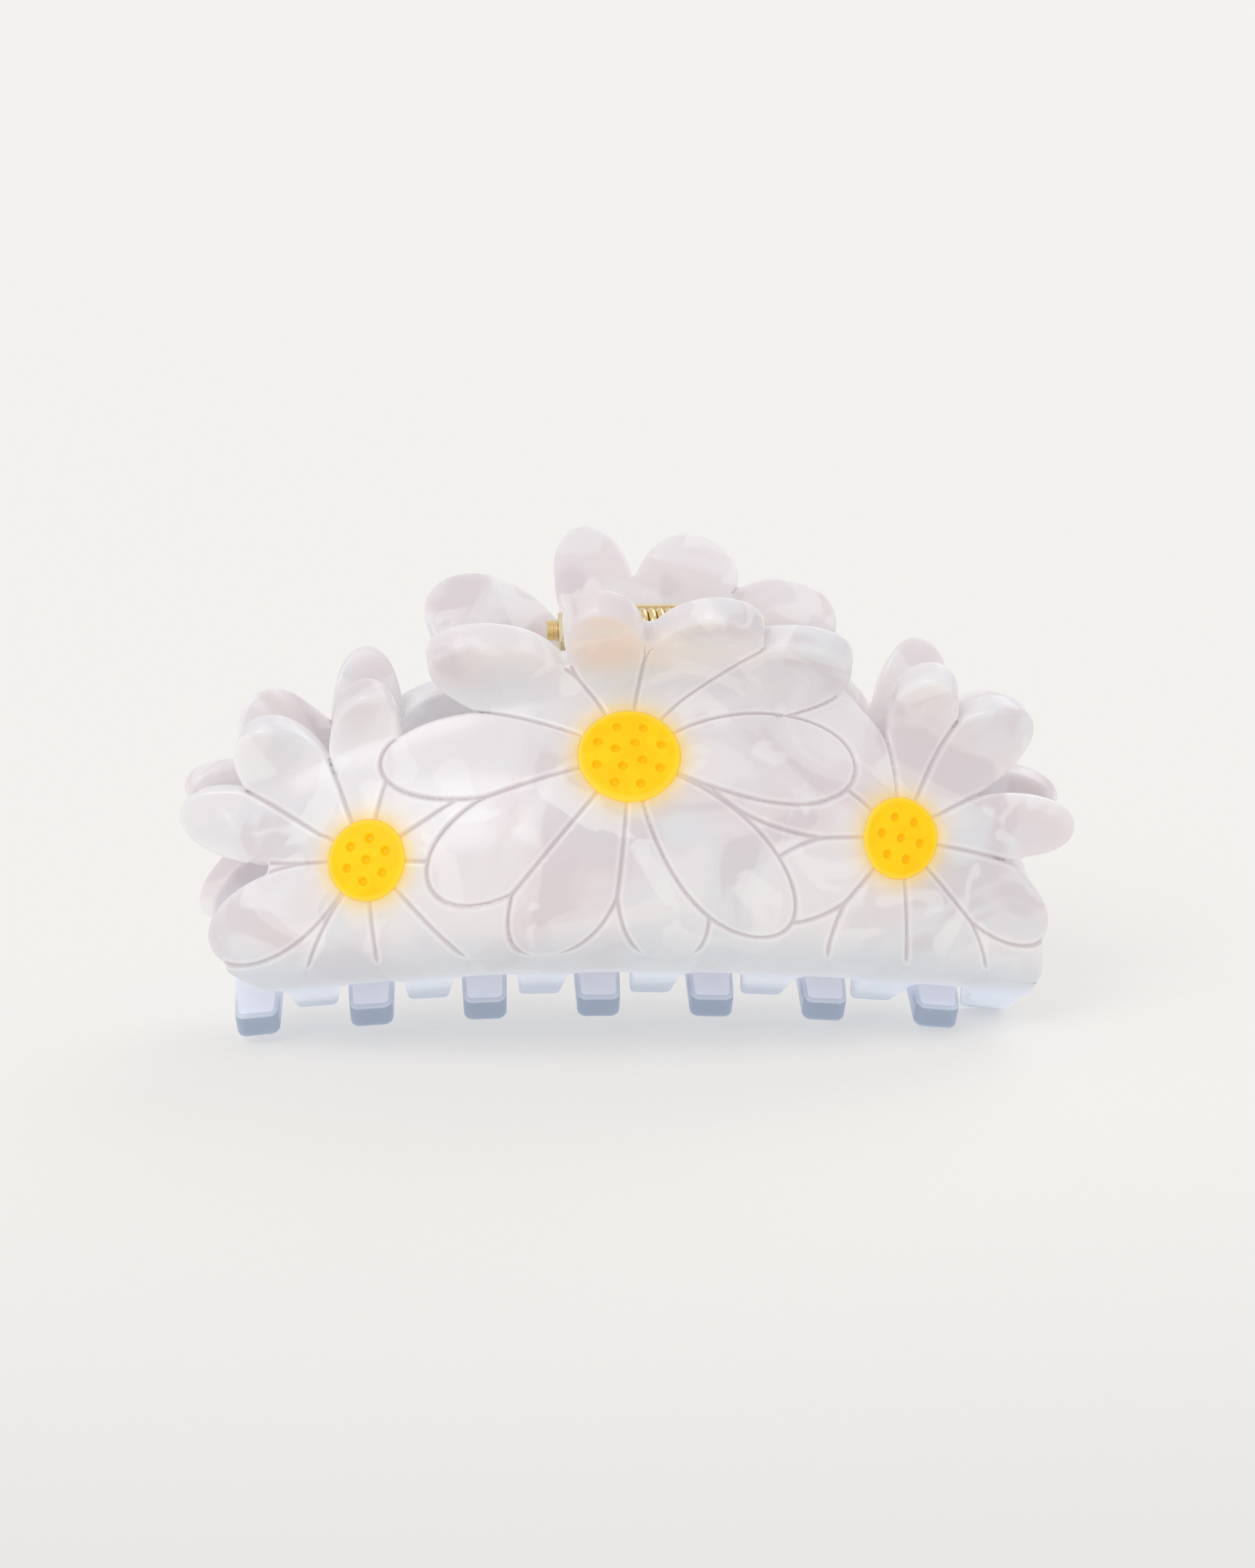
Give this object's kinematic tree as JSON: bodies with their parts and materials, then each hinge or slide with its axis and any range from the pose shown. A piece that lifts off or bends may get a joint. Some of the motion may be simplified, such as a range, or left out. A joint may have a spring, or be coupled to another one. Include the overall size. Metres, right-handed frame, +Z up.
{
  "type": "hair clip",
  "caption": "Sprung claw hair clip: two curved, flower-shaped jaws with interleaved teeth, hinged on a metal pin, with raised dimpled flower centres.",
  "frame": {"origin": "under the middle of the closed clip, on the surface its tooth tips stand on", "axes": "+X along the hinge pin and the clip's length, -Y towards the front jaw, +Z up, from the teeth to the finger tabs"},
  "size_m": [0.1091, 0.0482, 0.06],
  "materials": {
    "pearl": "polished pearlescent acetate, white with pink and blue clouds, pale translucent blue at the teeth",
    "yellow": "satin yellow acetate",
    "gold_leaf": "polished pale gold plate",
    "gold_pin": "polished gold plate",
    "gold_spring": "drawn gold-plated wire"
  },
  "bodies": {
    "back_half": {"back_jaw": "pearl", "back_left_disc": "yellow", "back_middle_disc": "yellow", "back_right_disc": "yellow", "back_hinge_leaf": "gold_leaf", "hinge_pin": "gold_pin", "pin_caps": "gold_pin", "torsion_spring": "gold_spring"},
    "front_half": {"front_jaw": "pearl", "front_left_disc": "yellow", "front_middle_disc": "yellow", "front_right_disc": "yellow", "front_hinge_leaf": "gold_leaf"}
  },
  "joints": [
    {"name": "jaw_hinge", "type": "hinge", "parent": "back_half", "child": "front_half", "pos_m": [0.00345, 0, 0.0507], "axis": [-1, 0, 0], "range_deg": [0, 45], "stiffness_Nm_per_rad": 0.12, "springref_deg": -57.3, "deforming": ["torsion_spring"]}
  ]
}
